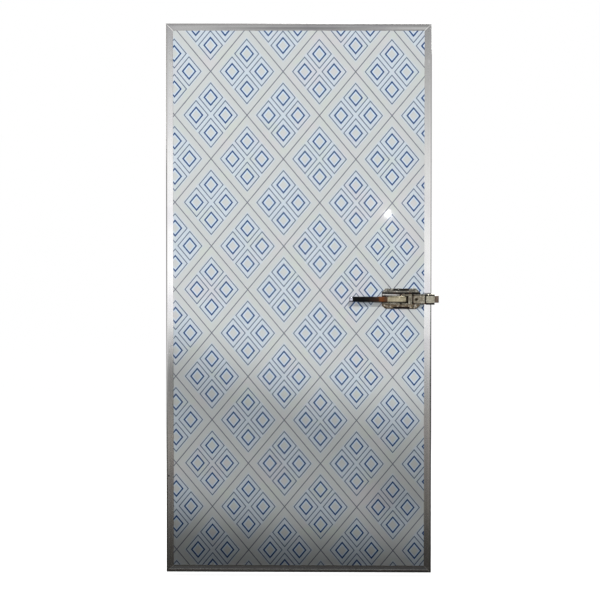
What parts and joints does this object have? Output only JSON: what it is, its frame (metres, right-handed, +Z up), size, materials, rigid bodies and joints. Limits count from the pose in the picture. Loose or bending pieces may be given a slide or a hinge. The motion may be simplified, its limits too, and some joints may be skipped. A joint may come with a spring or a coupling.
{
  "type": "walk-in cooler door",
  "caption": "Insulated walk-in cooler door leaf with mitred aluminium edge trim, patterned face film and a pull-lever latch, hung on concealed wall hinges.",
  "frame": {"origin": "middle of the lower hinge's wall plate, on the face that meets the wall", "axes": "+Z up, +Y into the wall and the cold room, so the door's front faces -Y and its latch is on the +X side"},
  "size_m": [0.915, 0.191, 1.85],
  "materials": {
    "printed_film": "coated steel sheet under a glossy printed film",
    "foam": "polyurethane foam",
    "back_sheet": "white coated steel sheet",
    "trim_aluminium": "satin anodised",
    "plug_plastic": "pale grey extruded plastic",
    "seal_rubber": "black extruded rubber",
    "hinge_steel": "zinc plated",
    "latch_chrome": "chrome plated casting",
    "lever_chrome": "dark polished bar",
    "tip_chrome": "bright polished cap",
    "bolt_steel": "worn steel",
    "release_plastic": "green moulded plastic"
  },
  "bodies": {
    "wall_hinges": {"lower_wall_plate": "hinge_steel", "upper_wall_plate": "hinge_steel", "lower_hinge_pin": "hinge_steel", "upper_hinge_pin": "hinge_steel"},
    "leaf": {"front_sheet": "printed_film", "foam_core": "foam", "back_sheet": "back_sheet", "trim_top": "trim_aluminium", "trim_bottom": "trim_aluminium", "trim_hinge_side": "trim_aluminium", "trim_latch_side": "trim_aluminium", "plug_side_top": "plug_plastic", "plug_side_bottom": "plug_plastic", "plug_side_hinge": "plug_plastic", "plug_side_latch": "plug_plastic", "gasket_top": "seal_rubber", "gasket_hinge": "seal_rubber", "gasket_latch": "seal_rubber", "bottom_sweep": "seal_rubber", "sweep_holder": "trim_aluminium", "lower_leaf_plate": "hinge_steel", "upper_leaf_plate": "hinge_steel", "latch_base_plate": "latch_chrome", "latch_housing": "latch_chrome", "latch_pivot_pin": "bolt_steel", "bolt_guide": "latch_chrome", "release_rosette": "latch_chrome", "release_knob": "release_plastic"},
    "lever": {"lever_arm": "latch_chrome", "lever_grip": "lever_chrome", "lever_tip": "tip_chrome"},
    "bolt": {"latch_bolt": "bolt_steel"}
  },
  "joints": [
    {"name": "door_swing", "type": "hinge", "parent": "wall_hinges", "child": "leaf", "pos_m": [-0.008, -0.016, 0.5975], "axis": [0, 0, -1], "range_deg": [0, 95]},
    {"name": "lever_pull", "type": "hinge", "parent": "leaf", "child": "lever", "pos_m": [0.7815, -0.079, 0.599], "axis": [0, 0, 1], "range_deg": [0, 40], "stiffness_Nm_per_rad": 1.5, "springref_deg": -11.46},
    {"name": "bolt_slide", "type": "slide", "parent": "leaf", "child": "bolt", "axis": [-1, 0, 0], "range_m": [0, 0.0126]}
  ],
  "couplings": [
    {"joint": "bolt_slide", "follows": "lever_pull", "m_per_rad": 0.018}
  ]
}
